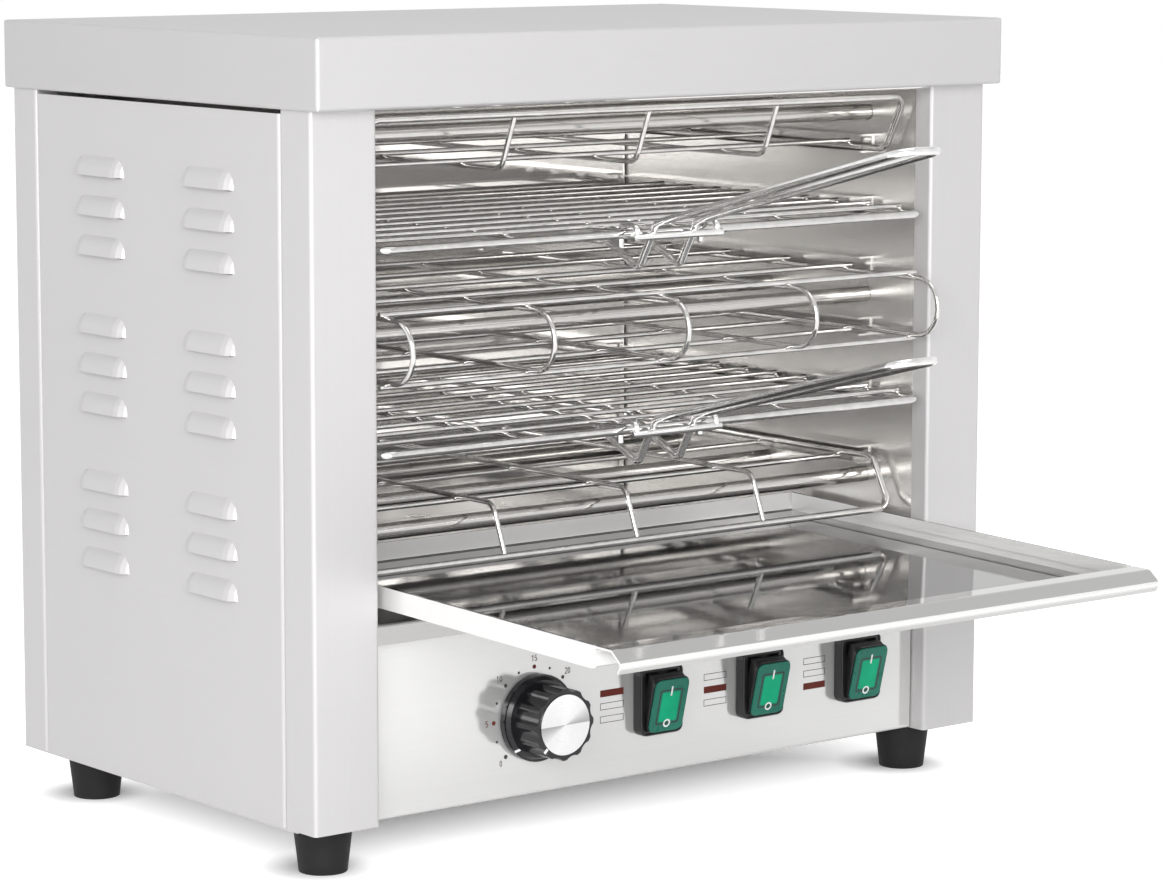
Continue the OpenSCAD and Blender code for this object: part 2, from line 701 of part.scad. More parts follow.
// Wire handle hooked over the front wire of a rack and braced under its grid
module rack_handle(z) color("lightgray") in_body() translate([0, rack_front, z]) {
    over = rack_d / 2 + hook_d / 2 + rail_clear;
    stand = rack_d / 2 + handle_d / 2 + rail_clear;
    lean = [-cos(leg_lean), sin(leg_lean)];
    ahead = [-sin(leg_lean), -cos(leg_lean)];
    dip = ahead * stand - lean * leg_below;
    root = ahead * stand + lean * leg_above;
    bar = ahead * (stand + handle_d - weld) + lean * bar_up;
    turn_1 = brace_drop + leg_lean;
    turn_2 = leg_lean - handle_rise;
    cut_1 = 4 * tan(turn_1 / 2);
    cut_2 = 6 * tan(turn_2 / 2);
    brace = (brace_in - dip.x) / cos(brace_drop);
    leg = leg_below + leg_above - cut_1 - cut_2;
    arm = (handle_reach + rack_front + root.x - handle_d / 2) / cos(handle_rise) - cut_2 - 9;
    translate([-handle_hw, dip.x + brace * cos(brace_drop), dip.y + brace * sin(brace_drop)])
        rotate([90, 0, -90]) rotate([0, 0, -brace_drop]) chain([
            [brace - cut_1, turn_1, 4, 0], [leg, turn_2, 6, 180], [arm, 90, 9, 90],
            [2 * handle_hw - 18, 90, 9, 0], [arm, turn_2, 6, -90], [leg, turn_1, 4, 180], [brace - cut_1]
        ], handle_d);
    rod_x(-hook_hw - 3, hook_hw + 3, bar.x, bar.y, handle_d);
    for (s = [-1, 1]) translate([s * hook_hw, bar.x, bar.y]) rotate([0, -90, 0]) chain([
        [over - bar.y - 3, 90, 3, 0], [over - bar.x - 6, 90, 3, 0], [hook_down]
    ], hook_d);
}

module upper_rack_handle() rack_handle(rack_hi);

module lower_rack_handle() rack_handle(rack_lo);

module crumb_tray() color("silver") on_tray() {
    yz(-tray_hw) linear_extrude(2 * tray_hw) sheet([
        [tray_rear, tray_h], [tray_rear, 0], [tray_front, 0], [tray_front, tray_h - sheet_t],
        [tray_front - 12, tray_h - sheet_t], [tray_front - 19, tray_h - 6.2], [tray_front - 16.6, tray_h - 10]
    ], -sheet_t);
    for (s = [-1, 1]) {
        x0 = min(s * tray_hw, s * (tray_hw - sheet_t));
        x1 = min(s * tray_hw, s * (tray_hw - 2 * sheet_t));
        box([x0, tray_front + small, 0.5], [x0 + sheet_t, tray_rear - small, tray_h]);
        box([x0, tray_front + fold_r, 0], [x0 + sheet_t, tray_rear - fold_r, 1]);
        box([x1, tray_front + fold_r, tray_h - 6], [x1 + 2 * sheet_t, tray_rear - fold_r, tray_h]);
    }
}

module timer_body() color("dimgray") in_body() translate([timer_x, 0, control_z]) difference() {
    union() {
        box([-23, panel_back, -25], [23, panel_back + 34, 25]);
        rod_y(panel_y - 4, panel_back + 1, 0, 0, 10);
        for (k = [-1, 1]) box([k * 12 - 3, panel_back + 33, -10], [k * 12 + 3, panel_back + 42, -9.2]);
    }
    rod_y(panel_y - 5, panel_back + 20, 0, 0, shaft_d + 2 * shaft_clear);
    for (s = [-1, 1]) rod_y(panel_y, panel_back + 9, s * 14, 0, 3 + fit);
}

module timer_shaft() color("silver") in_body()
    rod_y(panel_y - knob_h + 8, panel_back + 19.5, timer_x, control_z, shaft_d);

module timer_knob() color([0.05, 0.05, 0.05]) in_body()
    translate([timer_x, panel_y - 1, control_z]) rotate([90, 0, 0]) difference() {
        union() {
            cylinder(d = skirt_d, h = 3.4, $fn = 96);
            translate([0, 0, 3.3]) cylinder(d1 = skirt_d - 1.6, d2 = grip_d + 3, h = 2.1, $fn = 96);
            difference() {
                translate([0, 0, 5]) cylinder(d = grip_d, h = knob_h - 6.6, $fn = 96);
                for (i = [0:scallops - 1]) rotate([0, 0, (i + 0.5) * 360 / scallops])
                    translate([grip_d / 2 + 5.4, 0, 7]) cylinder(d = 13.4, h = knob_h, $fn = 48);
            }
        }
        translate([0, 0, -1]) cylinder(d = skirt_d - 6, h = 3.6, $fn = 96);
        translate([0, 0, -1]) cylinder(d = 12, h = 6, $fn = 48);
        translate([0, 0, -1]) cylinder(d = shaft_d + fit, h = knob_h - 8, $fn = 48);
        translate([0, 0, knob_h - 2.1]) cylinder(d = cap_d + fit, h = 2, $fn = 96);
    }

module knob_cap() color("silver") in_body() translate([timer_x, panel_y - 1, control_z]) rotate([90, 0, 0])
    translate([0, 0, knob_h - 2.1]) cylinder(d = cap_d, h = 1.1, $fn = 96);

module timer_screws() color("gray") in_body() for (s = [-1, 1]) {
    rod_y(panel_y - 1.8, panel_y, timer_x + s * 14, control_z, 5.6);
    rod_y(panel_y - 1, panel_back + 8, timer_x + s * 14, control_z, 3);
}

module on_switch(i) in_body() translate([switch_xs[i], 0, control_z]) children();

module on_rocker(i) on_switch(i) translate([0, pivot_y, 0]) rotate([rocker_tilt, 0, 0]) children();

module block(w, h, r, y0, y1) xz(y1) linear_extrude(y1 - y0) polygon(rrect(-w / 2, -h / 2, w / 2, h / 2, r));

collar_w = boot_w - 3;
collar_h = boot_h - 3;
pocket_h = 2 * (rocker_r + rocker_clear);
pocket_w = rocker_w + 2 * rocker_clear;

module switch_boot(i) color([0.05, 0.05, 0.05]) on_switch(i) difference() {
    block(boot_w, boot_h, 4.5, boot_front, panel_y);
    block(collar_w + fit, collar_h + fit, 2.5, boot_front - 1, panel_y + 1);
}

module switch_housing(i) color([0.1, 0.1, 0.1]) on_switch(i) difference() {
    union() {
        block(collar_w, collar_h, 2.5, boot_front + 0.8, panel_y);
        block(cut_w - 2 * slip, cut_h - 2 * slip, 1, panel_y - 0.5, panel_back + 25);
        for (z = [-9, 0, 9]) box([-3.1, panel_back + 24, z - 0.4], [3.1, panel_back + 33, z + 0.4]);
    }
    box([-pocket_w / 2, boot_front - 1, -pocket_h / 2], [pocket_w / 2, panel_y - 0.9, pocket_h / 2]);
    rod_x(-pocket_w / 2 - 1.2, pocket_w / 2 + 1.2, pivot_y, 0, 3 + fit);
}

module switch_rocker(i) color([0.05, 0.05, 0.05]) on_rocker(i) {
    intersection() {
        rod_x(-rocker_w / 2, rocker_w / 2, 0, 0, 2 * rocker_r);
        box([-rocker_w, -cap_back - 0.2, -rocker_r - 1], [rocker_w, -0.6, rocker_r + 1]);
    }
    block(cap_w, cap_h, 4, -cap_front, -cap_back);
    box([-rocker_w / 2, -1, -3], [rocker_w / 2, 2.4, 3]);
    rod_x(-pocket_w / 2 - 1, pocket_w / 2 + 1, 0, 0, 3);
}

module switch_lens(i) color("green") on_rocker(i)
    block(cap_w - 2 * lens_in, cap_h - 2 * lens_in, 3.5, -lens_front, -cap_front);

module switch_1_boot() switch_boot(0);

module switch_1_housing() switch_housing(0);

module switch_1_rocker() switch_rocker(0);

module switch_1_lens() switch_lens(0);

module switch_2_boot() switch_boot(1);

module switch_2_housing() switch_housing(1);

module switch_2_rocker() switch_rocker(1);

module switch_2_lens() switch_lens(1);

module switch_3_boot() switch_boot(2);

module switch_3_housing() switch_housing(2);

module switch_3_rocker() switch_rocker(2);

module switch_3_lens() switch_lens(2);

module feet() color([0.08, 0.08, 0.08]) in_body() at_feet() difference() {
    translate([0, 0, -sheet_t - foot_h]) cylinder(d1 = foot_d1, d2 = foot_d2, h = foot_h, $fn = 72);
    translate([0, 0, -sheet_t - foot_h - 1]) cylinder(d = foot_recess_d, h = 14, $fn = 48);
    rod_z(-sheet_t - foot_h, 1, 0, 0, foot_screw_d + fit);
}

module foot_screws() color("gray") in_body() at_feet() {
    seat = -sheet_t - foot_h + 13;
    rod_z(seat - 3.2, seat, 0, 0, foot_screw_d * 1.8);
    rod_z(seat - 1, 6, 0, 0, foot_screw_d);
}

module foot_nuts() color("gray") in_body() at_feet() difference() {
    cylinder(d = foot_screw_d * 1.85, h = 4, $fn = 6);
    rod_z(-1, 5, 0, 0, foot_screw_d + fit);
}

module rear_panel_screws() color("gray") in_body() for (s = [-1, 1])
    for (z = rear_screw_zs) {
        rod_y(rear_y, rear_y + 2.2, s * rear_screw_x, z, 8);
        rod_y(body_d - 8, rear_y + 1, s * rear_screw_x, z, 4);
    }

module cable_gland() color([0.1, 0.1, 0.1]) in_body()
    translate([gland_x, rear_y, gland_z]) rotate([-90, 0, 0]) difference() {
        union() {
            cylinder(d = 26, h = 5, $fn = 6);
            translate([0, 0, 4]) cylinder(d1 = 21, d2 = 17, h = gland_out - 4, $fn = 72);
            translate([0, 0, -12]) cylinder(d = gland_thread, h = 13, $fn = 72);
        }
        translate([0, 0, -20]) cylinder(d = gland_bore, h = 60, $fn = 48);
    }

module gland_nut() color([0.1, 0.1, 0.1]) in_body()
    translate([gland_x, body_d - 5, gland_z]) rotate([-90, 0, 0]) difference() {
        cylinder(d = 25, h = 5, $fn = 6);
        translate([0, 0, -1]) cylinder(d = gland_thread + fit, h = 7, $fn = 72);
    }

module terminal_block() color("white") in_body() translate([block_x, block_y, 0]) difference() {
    union() {
        box([-28, 0, 0], [28, 22, 9]);
        for (i = [-2:2]) box([i * 11 - 4.5, 3, 8], [i * 11 + 4.5, 19, 17]);
    }
    for (i = [-2:2]) rod_z(9, 18, i * 11, 11, 4.5);
}

module wiring_loom() color("maroon") in_body() {
    rod_x(-riser_x - 2, riser_x + 2, loom_y, loom_z, 7);
    rod_y(loom_y, block_y, block_x, 6, 5);
    rod_z(3, loom_z, block_x, loom_y, 5.4);
    for (x = switch_xs) rod_y(panel_back + 33, loom_y, x, loom_z, 4.4);
    for (x = switch_xs) rod_z(loom_z - 1, control_z - 9.4, x, panel_back + 35, 4);
    for (k = [-1, 1]) rod_y(panel_back + 40, loom_y, timer_x + k * 12, loom_z, 4.4);
    for (k = [-1, 1]) rod_z(loom_z - 1, control_z - 10, timer_x + k * 12, panel_back + 41.4, 1.2);
    for (s = [-1, 1]) {
        rod_y(loom_y, riser_y + 2, s * riser_x, loom_z, 6.4);
        rod_z(loom_z, tube_hi, s * riser_x, riser_y, 5.8);
    }
}

lid();
left_side_panel();
right_side_panel();
rear_panel();
front_left_post();
front_right_post();
rear_left_post();
rear_right_post();
base_plate();
control_panel();
cavity_floor();
left_liner();
right_liner();
rear_liner();
top_reflector();
left_guide_rails();
right_guide_rails();
left_tray_runner();
right_tray_runner();
upper_heating_tubes();
middle_heating_tubes();
lower_heating_tubes();
tube_bushings();
tube_insulators();
upper_guard();
middle_guard();
lower_guard();
upper_rack();
upper_rack_handle();
lower_rack();
lower_rack_handle();
crumb_tray();
timer_body();
timer_shaft();
timer_knob();
knob_cap();
timer_screws();
switch_1_boot();
switch_1_housing();
switch_1_rocker();
switch_1_lens();
switch_2_boot();
switch_2_housing();
switch_2_rocker();
switch_2_lens();
switch_3_boot();
switch_3_housing();
switch_3_rocker();
switch_3_lens();
feet();
foot_screws();
foot_nuts();
rear_panel_screws();
cable_gland();
gland_nut();
terminal_block();
wiring_loom();
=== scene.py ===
"""Looks of the two-level bar toaster grill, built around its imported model."""
import math

import bmesh
import bpy
from mathutils import Matrix, Vector


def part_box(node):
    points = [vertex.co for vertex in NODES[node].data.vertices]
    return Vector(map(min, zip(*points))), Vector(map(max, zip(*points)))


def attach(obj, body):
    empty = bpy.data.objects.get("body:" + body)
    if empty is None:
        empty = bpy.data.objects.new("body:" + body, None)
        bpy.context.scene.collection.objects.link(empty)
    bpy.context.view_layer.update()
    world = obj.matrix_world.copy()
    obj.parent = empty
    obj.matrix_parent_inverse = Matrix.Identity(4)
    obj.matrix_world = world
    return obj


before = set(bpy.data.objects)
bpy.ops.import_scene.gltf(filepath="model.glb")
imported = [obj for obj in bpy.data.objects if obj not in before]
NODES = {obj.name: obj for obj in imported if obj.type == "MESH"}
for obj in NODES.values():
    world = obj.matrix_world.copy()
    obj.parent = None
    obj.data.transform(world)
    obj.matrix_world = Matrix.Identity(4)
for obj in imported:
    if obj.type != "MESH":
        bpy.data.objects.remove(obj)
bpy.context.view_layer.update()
scene = bpy.context.scene
scene.view_settings.view_transform = "Standard"

# Casing millimetres: x from the middle, y from the front of the posts, z from under the posts
MM = 1000
FRONT_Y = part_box("front_left_post")[0][1] * MM
POST_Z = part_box("base_plate")[1][2] * MM


def at(x, y, z):
    """Casing millimetres to metres in the frame."""
    return Vector((x, y + FRONT_Y, z + POST_Z)) / MM


def casing_box(node):
    """Lowest and highest corner of a node in casing millimetres."""
    return [Vector(corner) * MM - Vector((0, FRONT_Y, POST_Z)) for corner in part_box(node)]


def casing_middle(node):
    """Middle of a node's box in casing millimetres."""
    low, high = casing_box(node)
    return (low + high) / 2


# Places on the control panel
PANEL_Y = casing_box("control_panel")[0].y
KNOB_Y = casing_box("timer_knob")[1].y
TIMER_X = casing_middle("timer_knob").x
CONTROL_Z = casing_middle("timer_knob").z
SWITCHES = (1, 2, 3)
SWITCH_XS = [casing_middle(f"switch_{i}_boot").x for i in SWITCHES]


def add_object(name, data):
    """A new object in the scene."""
    made = bpy.data.objects.new(name, data)
    scene.collection.objects.link(made)
    return made


# Camera, found from the straight edges of the photograph
CAM_PLACE = at(-1322.5, -1588.2, 466.1)
CAM_AZ = math.radians(38.56)
CAM_EL = math.radians(8.09)
CAM_ROLL = math.radians(0.10)
FOCAL_PX = 4056.02
PHOTO_WIDTH_PX = 1164
SENSOR_WIDTH = 36.0
CLIP_NEAR = 0.05
CLIP_FAR = 50


def add_camera():
    data = bpy.data.cameras.new("camera")
    data.sensor_fit = "HORIZONTAL"
    data.sensor_width = SENSOR_WIDTH
    data.lens = FOCAL_PX / PHOTO_WIDTH_PX * SENSOR_WIDTH
    data.clip_start = CLIP_NEAR
    data.clip_end = CLIP_FAR
    level = math.cos(CAM_EL)
    forward = Vector((math.sin(CAM_AZ) * level, math.cos(CAM_AZ) * level, -math.sin(CAM_EL)))
    side = forward.cross(Vector((0, 0, 1))).normalized()
    up = side.cross(forward)
    right = math.cos(CAM_ROLL) * side + math.sin(CAM_ROLL) * up
    top = math.cos(CAM_ROLL) * up - math.sin(CAM_ROLL) * side
    turn = Matrix((right, top, -forward)).transposed().to_4x4()
    scene.camera = add_object("camera", data)
    scene.camera.matrix_world = Matrix.Translation(CAM_PLACE) @ turn


add_camera()


# Node helpers
class Shading:
    """Small wrapper to write the nodes of a material or world in a few lines."""

    def __init__(self, owner, output):
        owner.use_nodes = True
        self.owner = owner
        self.tree = owner.node_tree
        self.tree.nodes.clear()
        self.output = self.tree.nodes.new("ShaderNode" + output)

    def node(self, kind, inputs=None, output=0, **settings):
        """One output of a new node; an input is another node's output or a fixed value."""
        made = self.tree.nodes.new("ShaderNode" + kind)
        for key, value in settings.items():
            setattr(made, key, value)
        for key, value in (inputs or {}).items():
            if isinstance(value, bpy.types.NodeSocket):
                self.tree.links.new(value, made.inputs[key])
            else:
                made.inputs[key].default_value = value
        return made.outputs[output]

    def finish(self, shader):
        """Put a shader on the surface."""
        self.tree.links.new(shader, self.output.inputs["Surface"])
        return self.owner

    def place(self):
        return self.node("TexCoord", output="Object")

    def part(self, vector, axis):
        """The X, Y or Z of a vector."""
        return self.node("SeparateXYZ", {"Vector": vector}, axis)

    def calc(self, operation, a, b=0.0):
        return self.node("Math", {0: a, 1: b}, operation=operation)

    def ramp(self, value, low, high, first, last):
        """From first to last while value goes from low to high."""
        limits = {"From Min": low, "From Max": high, "To Min": first, "To Max": last}
        return self.node("MapRange", {"Value": value, **limits}, "Result")

    def noise(self, scale, detail, rough=0.5):
        vector = self.node("Mapping", {"Vector": self.place(), "Scale": scale}, "Vector")
        inputs = {"Vector": vector, "Scale": 1.0, "Detail": detail, "Roughness": rough}
        return self.node("TexNoise", inputs, "Fac")

    def mix(self, factor, first, second):
        """From one colour to another."""
        inputs = {"Factor": factor, "A": (*first, 1), "B": (*second, 1)}
        return self.node("Mix", inputs, "Result", data_type="RGBA")

    def grey(self, tone):
        return self.node("CombineColor", {"Red": tone, "Green": tone, "Blue": tone}, "Color")

    def bump(self, height, strength, distance):
        return self.node("Bump", {"Height": height, "Strength": strength, "Distance": distance}, "Normal")

    def principled(self, **sockets):
        """Finish with a principled shader; a socket's spaces are written as underscores."""
        inputs = {name.replace("_", " "): value for name, value in sockets.items()}
        return self.finish(self.node("BsdfPrincipled", inputs, "BSDF"))


def new_material(name):
    return Shading(bpy.data.materials.new(name), "OutputMaterial")


def even(scale):
    """The same noise scale along all axes."""
    return (scale, scale, scale)


def shade(colour, share):
    return tuple(c * share for c in colour)


# Sheet steel
def sheet_skin(t, tint, rough, grain, wave=0.0, spread=0.05, depth=0.06):
    """Colour, roughness and normal: rolled grain along one axis, faint handling marks and waviness."""
    fine = t.noise(grain, detail=2.0, rough=0.6)
    marks = t.calc("ADD", fine, t.noise(even(9), detail=4.0, rough=0.6))
    colour = t.mix(t.ramp(marks, 0.6, 1.4, 0.0, 1.0), shade(tint, 0.97), tint)
    roughness = t.ramp(marks, 0.6, 1.4, rough - spread, rough + spread)
    height = t.calc("MULTIPLY", fine, depth)
    if wave:
        height = t.calc("ADD", height, t.calc("MULTIPLY", t.noise(even(11), detail=1.0), wave))
    return colour, roughness, t.bump(height, strength=0.10, distance=0.0004)


def sheet_metal(name, tint, rough, grain, metal=1.0, **skin):
    """Sheet steel with one finish all over."""
    t = new_material(name)
    colour, roughness, normal = sheet_skin(t, tint, rough, grain, **skin)
    return t.principled(Base_Color=colour, Metallic=metal, Roughness=roughness, Normal=normal)


# Tray, with its lip in metres
TRAY = (0.88, 0.875, 0.865)
TRAY_GRAIN = (5, 700, 700)
TRAY_ROUGH = 0.05
RUBBED_ROUGH = 0.25
RUBBED_DULL = 0.75
# Painted shade on the tray's level faces: the tone left on the front lip and on the pan behind it
LIP_SHADE_TONE = 0.72
PAN_SHADE_TONE = 0.33
LIP_WIDTH = 0.021
LIP_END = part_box("crumb_tray")[0][1] + LIP_WIDTH
LIP_BLEND = 0.001


def tray_metal(name):
    """Polished tray: upright faces are rubbed dull; its level faces carry painted shade, light on the
    front lip and deep on the pan behind it, for the dark inside they reflect.
    """
    t = new_material(name)
    colour, roughness, normal = sheet_skin(
        t, TRAY, TRAY_ROUGH, TRAY_GRAIN, wave=0.05, spread=0.015, depth=0.01
    )
    facing_up = t.calc("ABSOLUTE", t.part(t.node("TexCoord", output="Normal"), "Z"))
    upright = t.ramp(facing_up, 0.3, 0.5, 1.0, 0.0)
    level = t.calc("SUBTRACT", 1.0, upright)
    depth = t.part(t.place(), "Y")
    # Painted shade and painted reflection: level faces dim to the lip tone in front and the pan tone
    # behind
    painted_level_shade = t.ramp(depth, LIP_END, LIP_END + LIP_BLEND, 1.0 - LIP_SHADE_TONE, 1.0 - PAN_SHADE_TONE)
    tone = t.grey(t.calc("SUBTRACT", 1.0, t.calc("MULTIPLY", painted_level_shade, level)))
    layers = {"Factor": 1.0, "A": colour, "B": tone}
    return t.principled(
        Base_Color=t.node("Mix", layers, "Result", data_type="RGBA", blend_type="MULTIPLY"),
        Metallic=t.calc("SUBTRACT", 1.0, t.calc("MULTIPLY", upright, RUBBED_DULL)),
        Roughness=t.calc("ADD", roughness, t.calc("MULTIPLY", upright, RUBBED_ROUGH - TRAY_ROUGH)),
        Normal=normal,
    )


def wire_metal(name, tint, rough):
    """Drawn and polished wire: fine draw marks and small dull spots."""
    t = new_material(name)
    spots = t.noise(even(160), detail=3.0, rough=0.6)
    marks = t.noise(even(700), detail=2.0, rough=0.5)
    colour = t.mix(t.ramp(spots, 0.35, 0.7, 0.0, 1.0), tint, shade(tint, 0.86))
    roughness = t.ramp(spots, 0.3, 0.75, rough * 0.6, rough * 1.8)
    normal = t.bump(marks, strength=0.06, distance=0.0002)
    return t.principled(Base_Color=colour, Metallic=1.0, Roughness=roughness, Normal=normal)


def plastic(name, colour, rough, grain=900.0, depth=0.15, **more):
    """Moulded plastic or rubber with a fine eroded texture."""
    t = new_material(name)
    fine = t.noise(even(grain), detail=2.0, rough=0.6)
    broad = t.noise(even(60), detail=3.0, rough=0.6)
    pale = tuple(min(1.0, c * 1.22 + 0.004) for c in colour)
    base = t.mix(t.ramp(broad, 0.35, 0.7, 0.0, 1.0), colour, pale)
    roughness = t.ramp(broad, 0.3, 0.7, rough - 0.06, rough + 0.08)
    normal = t.bump(fine, strength=depth, distance=0.0002)
    return t.principled(Base_Color=base, Roughness=roughness, Normal=normal, **more)


def spun_metal(name):
    """Spun disc: rings of cut marks round the middle, their two-way gloss, and a painted highlight fan of
    light and dark sectors in the colour.
    """
    t = new_material(name)
    off = t.node("VectorMath", {0: t.place(), 1: at(TIMER_X, 0, CONTROL_Z)}, operation="SUBTRACT")
    x, z = t.part(off, "X"), t.part(off, "Z")
    radius = t.calc("SQRT", t.calc("ADD", t.calc("MULTIPLY", x, x), t.calc("MULTIPLY", z, z)))
    along = t.node("CombineXYZ", {"X": radius})
    rings = t.node("TexNoise", {"Vector": along, "Scale": 5000, "Detail": 2}, "Fac")
    half_turns = t.calc("DIVIDE", t.calc("ARCTAN2", z, x), math.pi)
    # Painted highlight: the colour turns lighter and darker in two sectors round the knob's axis
    painted_highlight_fan = t.ramp(t.calc("FRACT", half_turns), 0.02, 0.2, 0.47, 0.92)
    return t.principled(
        Base_Color=t.grey(t.calc("MULTIPLY", painted_highlight_fan, t.ramp(rings, 0.3, 0.7, 0.92, 1.0))),
        Metallic=1.0,
        Roughness=t.ramp(rings, 0.3, 0.7, 0.24, 0.32),
        Normal=t.bump(rings, strength=0.12, distance=0.0002),
        Anisotropic=0.7,
        Tangent=t.node("Tangent", direction_type="RADIAL", axis="Y"),
    )


# Colours
STEEL = (0.62, 0.61, 0.612)
LID = (0.58, 0.571, 0.576)
PANEL = (0.775, 0.77, 0.765)
LIP = (0.55, 0.54, 0.535)
LINER = (0.72, 0.705, 0.685)
MIRROR = (0.96, 0.945, 0.925)
TUBE = (0.66, 0.645, 0.625)
CHROME = (0.76, 0.75, 0.735)
# Lighter copy of the chrome for the rack handles: painted light for their bright reflections
LIT_CHROME = (0.94, 0.935, 0.93)
ZINC = (0.62, 0.62, 0.60)
CERAMIC = (0.80, 0.78, 0.73)
BLACK = (0.014, 0.014, 0.015)
KNOB = (0.010, 0.010, 0.012)
TERMINAL = (0.75, 0.74, 0.70)
LOOM = (0.40, 0.03, 0.02)
GREEN = (0.016, 0.165, 0.115)
GLOW = (0.0, 0.40, 0.20)
WHITE_INK = (0.94, 0.94, 0.93)
RED_INK = (0.135, 0.026, 0.018)
DARK_INK = (0.035, 0.03, 0.03)
LINE_INK = (0.05, 0.035, 0.035)

# Grain as the noise scale along x, y and z, and finishes
HORIZONTAL = (5, 5, 900)
VERTICAL = (900, 900, 5)
LID_GRAIN = (5, 900, 900)
TUBE_GRAIN = (4, 700, 700)
CASING_SKIN = {"wave": 0.012, "spread": 0.03, "depth": 0.008, "metal": 0.25}
PANEL_SKIN = {"wave": 0.03, "spread": 0.03, "metal": 0.5}
LINER_SKIN = {"wave": 0.03, "spread": 0.03, "depth": 0.012, "metal": 0.8}
MIRROR_SKIN = {"wave": 0.03, "spread": 0.02, "depth": 0.01, "metal": 0.78}
LOW_GLOSS = {"Specular_IOR_Level": 0.25}
DULL_GLOSS = {"Specular_IOR_Level": 0.2}

# Materials
casing = sheet_metal("casing_steel", STEEL, rough=0.42, grain=HORIZONTAL, **CASING_SKIN)
casing_upright = sheet_metal("casing_steel_upright", STEEL, rough=0.42, grain=VERTICAL, **CASING_SKIN)
casing_top = sheet_metal("casing_steel_top", LID, rough=0.46, grain=LID_GRAIN, **CASING_SKIN)
panel_steel = sheet_metal("panel_steel", PANEL, rough=0.12, grain=HORIZONTAL, **PANEL_SKIN)
lip_steel = sheet_metal("lip_steel", LIP, rough=0.28, grain=HORIZONTAL, wave=0.02)
liner = sheet_metal("liner_steel", LINER, rough=0.22, grain=HORIZONTAL, **LINER_SKIN)
mirror = sheet_metal("liner_mirror", MIRROR, rough=0.06, grain=HORIZONTAL, **MIRROR_SKIN)
tray_steel = tray_metal("tray_steel")
tube = sheet_metal("tube_steel", TUBE, rough=0.16, grain=TUBE_GRAIN, spread=0.06)
wire = wire_metal("wire_chrome", CHROME, rough=0.08)
# The handles' lighter chrome is painted light
handle_wire = wire_metal("wire_chrome_lit", LIT_CHROME, rough=0.12)
zinc = wire_metal("zinc_steel", ZINC, rough=0.30)
cap_metal = spun_metal("spun_aluminium")
ceramic = plastic("ceramic_white", CERAMIC, rough=0.35)
knob_black = plastic("knob_black", KNOB, rough=0.14, grain=1500.0, depth=0.03)
boot_black = plastic("boot_black", BLACK, rough=0.42, grain=1200.0)
switch_black = plastic("switch_black", BLACK, rough=0.34, grain=1200.0, depth=0.10)
foot_rubber = plastic("foot_rubber", BLACK, rough=0.62, depth=0.25, **LOW_GLOSS)
terminal = plastic("terminal_white", TERMINAL, rough=0.4)
loom = plastic("loom_red", LOOM, rough=0.5)
lens = plastic("lens_green", GREEN, rough=0.30, grain=600.0, depth=0.05, **LOW_GLOSS)
glow = plastic("lens_window_green", GLOW, rough=0.35, grain=500.0, depth=0.08, **DULL_GLOSS)
white_ink = plastic("ink_white", WHITE_INK, rough=0.5)
red_ink = plastic("ink_red", RED_INK, rough=0.5, **DULL_GLOSS)
dark_ink = plastic("ink_dark", DARK_INK, rough=0.5)
line_ink = plastic("ink_line", LINE_INK, rough=0.5, **DULL_GLOSS)

# Which nodes wear which material
BOOTS = [f"switch_{i}_boot" for i in SWITCHES]
HOUSINGS = [f"switch_{i}_housing" for i in SWITCHES]
ROCKERS = [f"switch_{i}_rocker" for i in SWITCHES]
LENSES = [f"switch_{i}_lens" for i in SWITCHES]
SIDE_SHEETS = ("liner", "guide_rails", "tray_runner")
LINER_SHEETS = [f"{side}_{sheet}" for side in ("left", "right") for sheet in SIDE_SHEETS]
PAINT = {
    casing: ["left_side_panel", "right_side_panel", "rear_panel", "base_plate"],
    casing_upright: ["front_left_post", "front_right_post", "rear_left_post", "rear_right_post"],
    casing_top: ["lid"],
    panel_steel: ["control_panel"],
    lip_steel: ["cavity_floor"],
    liner: LINER_SHEETS,
    mirror: ["rear_liner", "top_reflector"],
    tray_steel: ["crumb_tray"],
    tube: ["upper_heating_tubes", "middle_heating_tubes", "lower_heating_tubes"],
    wire: ["upper_guard", "middle_guard", "lower_guard", "upper_rack", "lower_rack"],
    handle_wire: ["upper_rack_handle", "lower_rack_handle"],
    zinc: ["tube_bushings", "timer_screws", "timer_shaft", "timer_body", "foot_screws", "foot_nuts",
           "rear_panel_screws"],
    cap_metal: ["knob_cap"],
    ceramic: ["tube_insulators"],
    knob_black: ["timer_knob"],
    boot_black: ["cable_gland", "gland_nut", *BOOTS],
    switch_black: HOUSINGS + ROCKERS,
    foot_rubber: ["feet"],
    terminal: ["terminal_block"],
    loom: ["wiring_loom"],
    lens: LENSES,
}
for mat, names in PAINT.items():
    for name in names:
        mesh = NODES[name].data
        mesh.materials.clear()
        mesh.materials.append(mat)

# Moulded pieces and screw heads have soft edges
SOFT_SEGMENTS = 3
SOFT_ANGLE = math.radians(40)
JOIN_GAP = 1e-6


def soften(names, width):
    """Round the edges of nodes by a width in millimetres."""
    for name in names:
        weld = NODES[name].modifiers.new("joined_faces", "WELD")
        weld.merge_threshold = JOIN_GAP
        edges = NODES[name].modifiers.new("soft_edges", "BEVEL")
        edges.width = width / MM
        edges.segments = SOFT_SEGMENTS
        edges.limit_method = "ANGLE"
        edges.angle_limit = SOFT_ANGLE


soften(BOOTS, width=0.9)
soften([*ROCKERS, "rear_panel_screws", "cable_gland"], width=0.6)
soften(LENSES, width=0.45)
soften([*HOUSINGS, "feet"], width=0.3)


# Mesh helpers
def mesh_object(name, bm, mat):
    """A finished mesh in the scene."""
    mesh = bpy.data.meshes.new(name)
    bm.to_mesh(mesh)
    bm.free()
    mesh.materials.append(mat)
    return add_object(name, mesh)


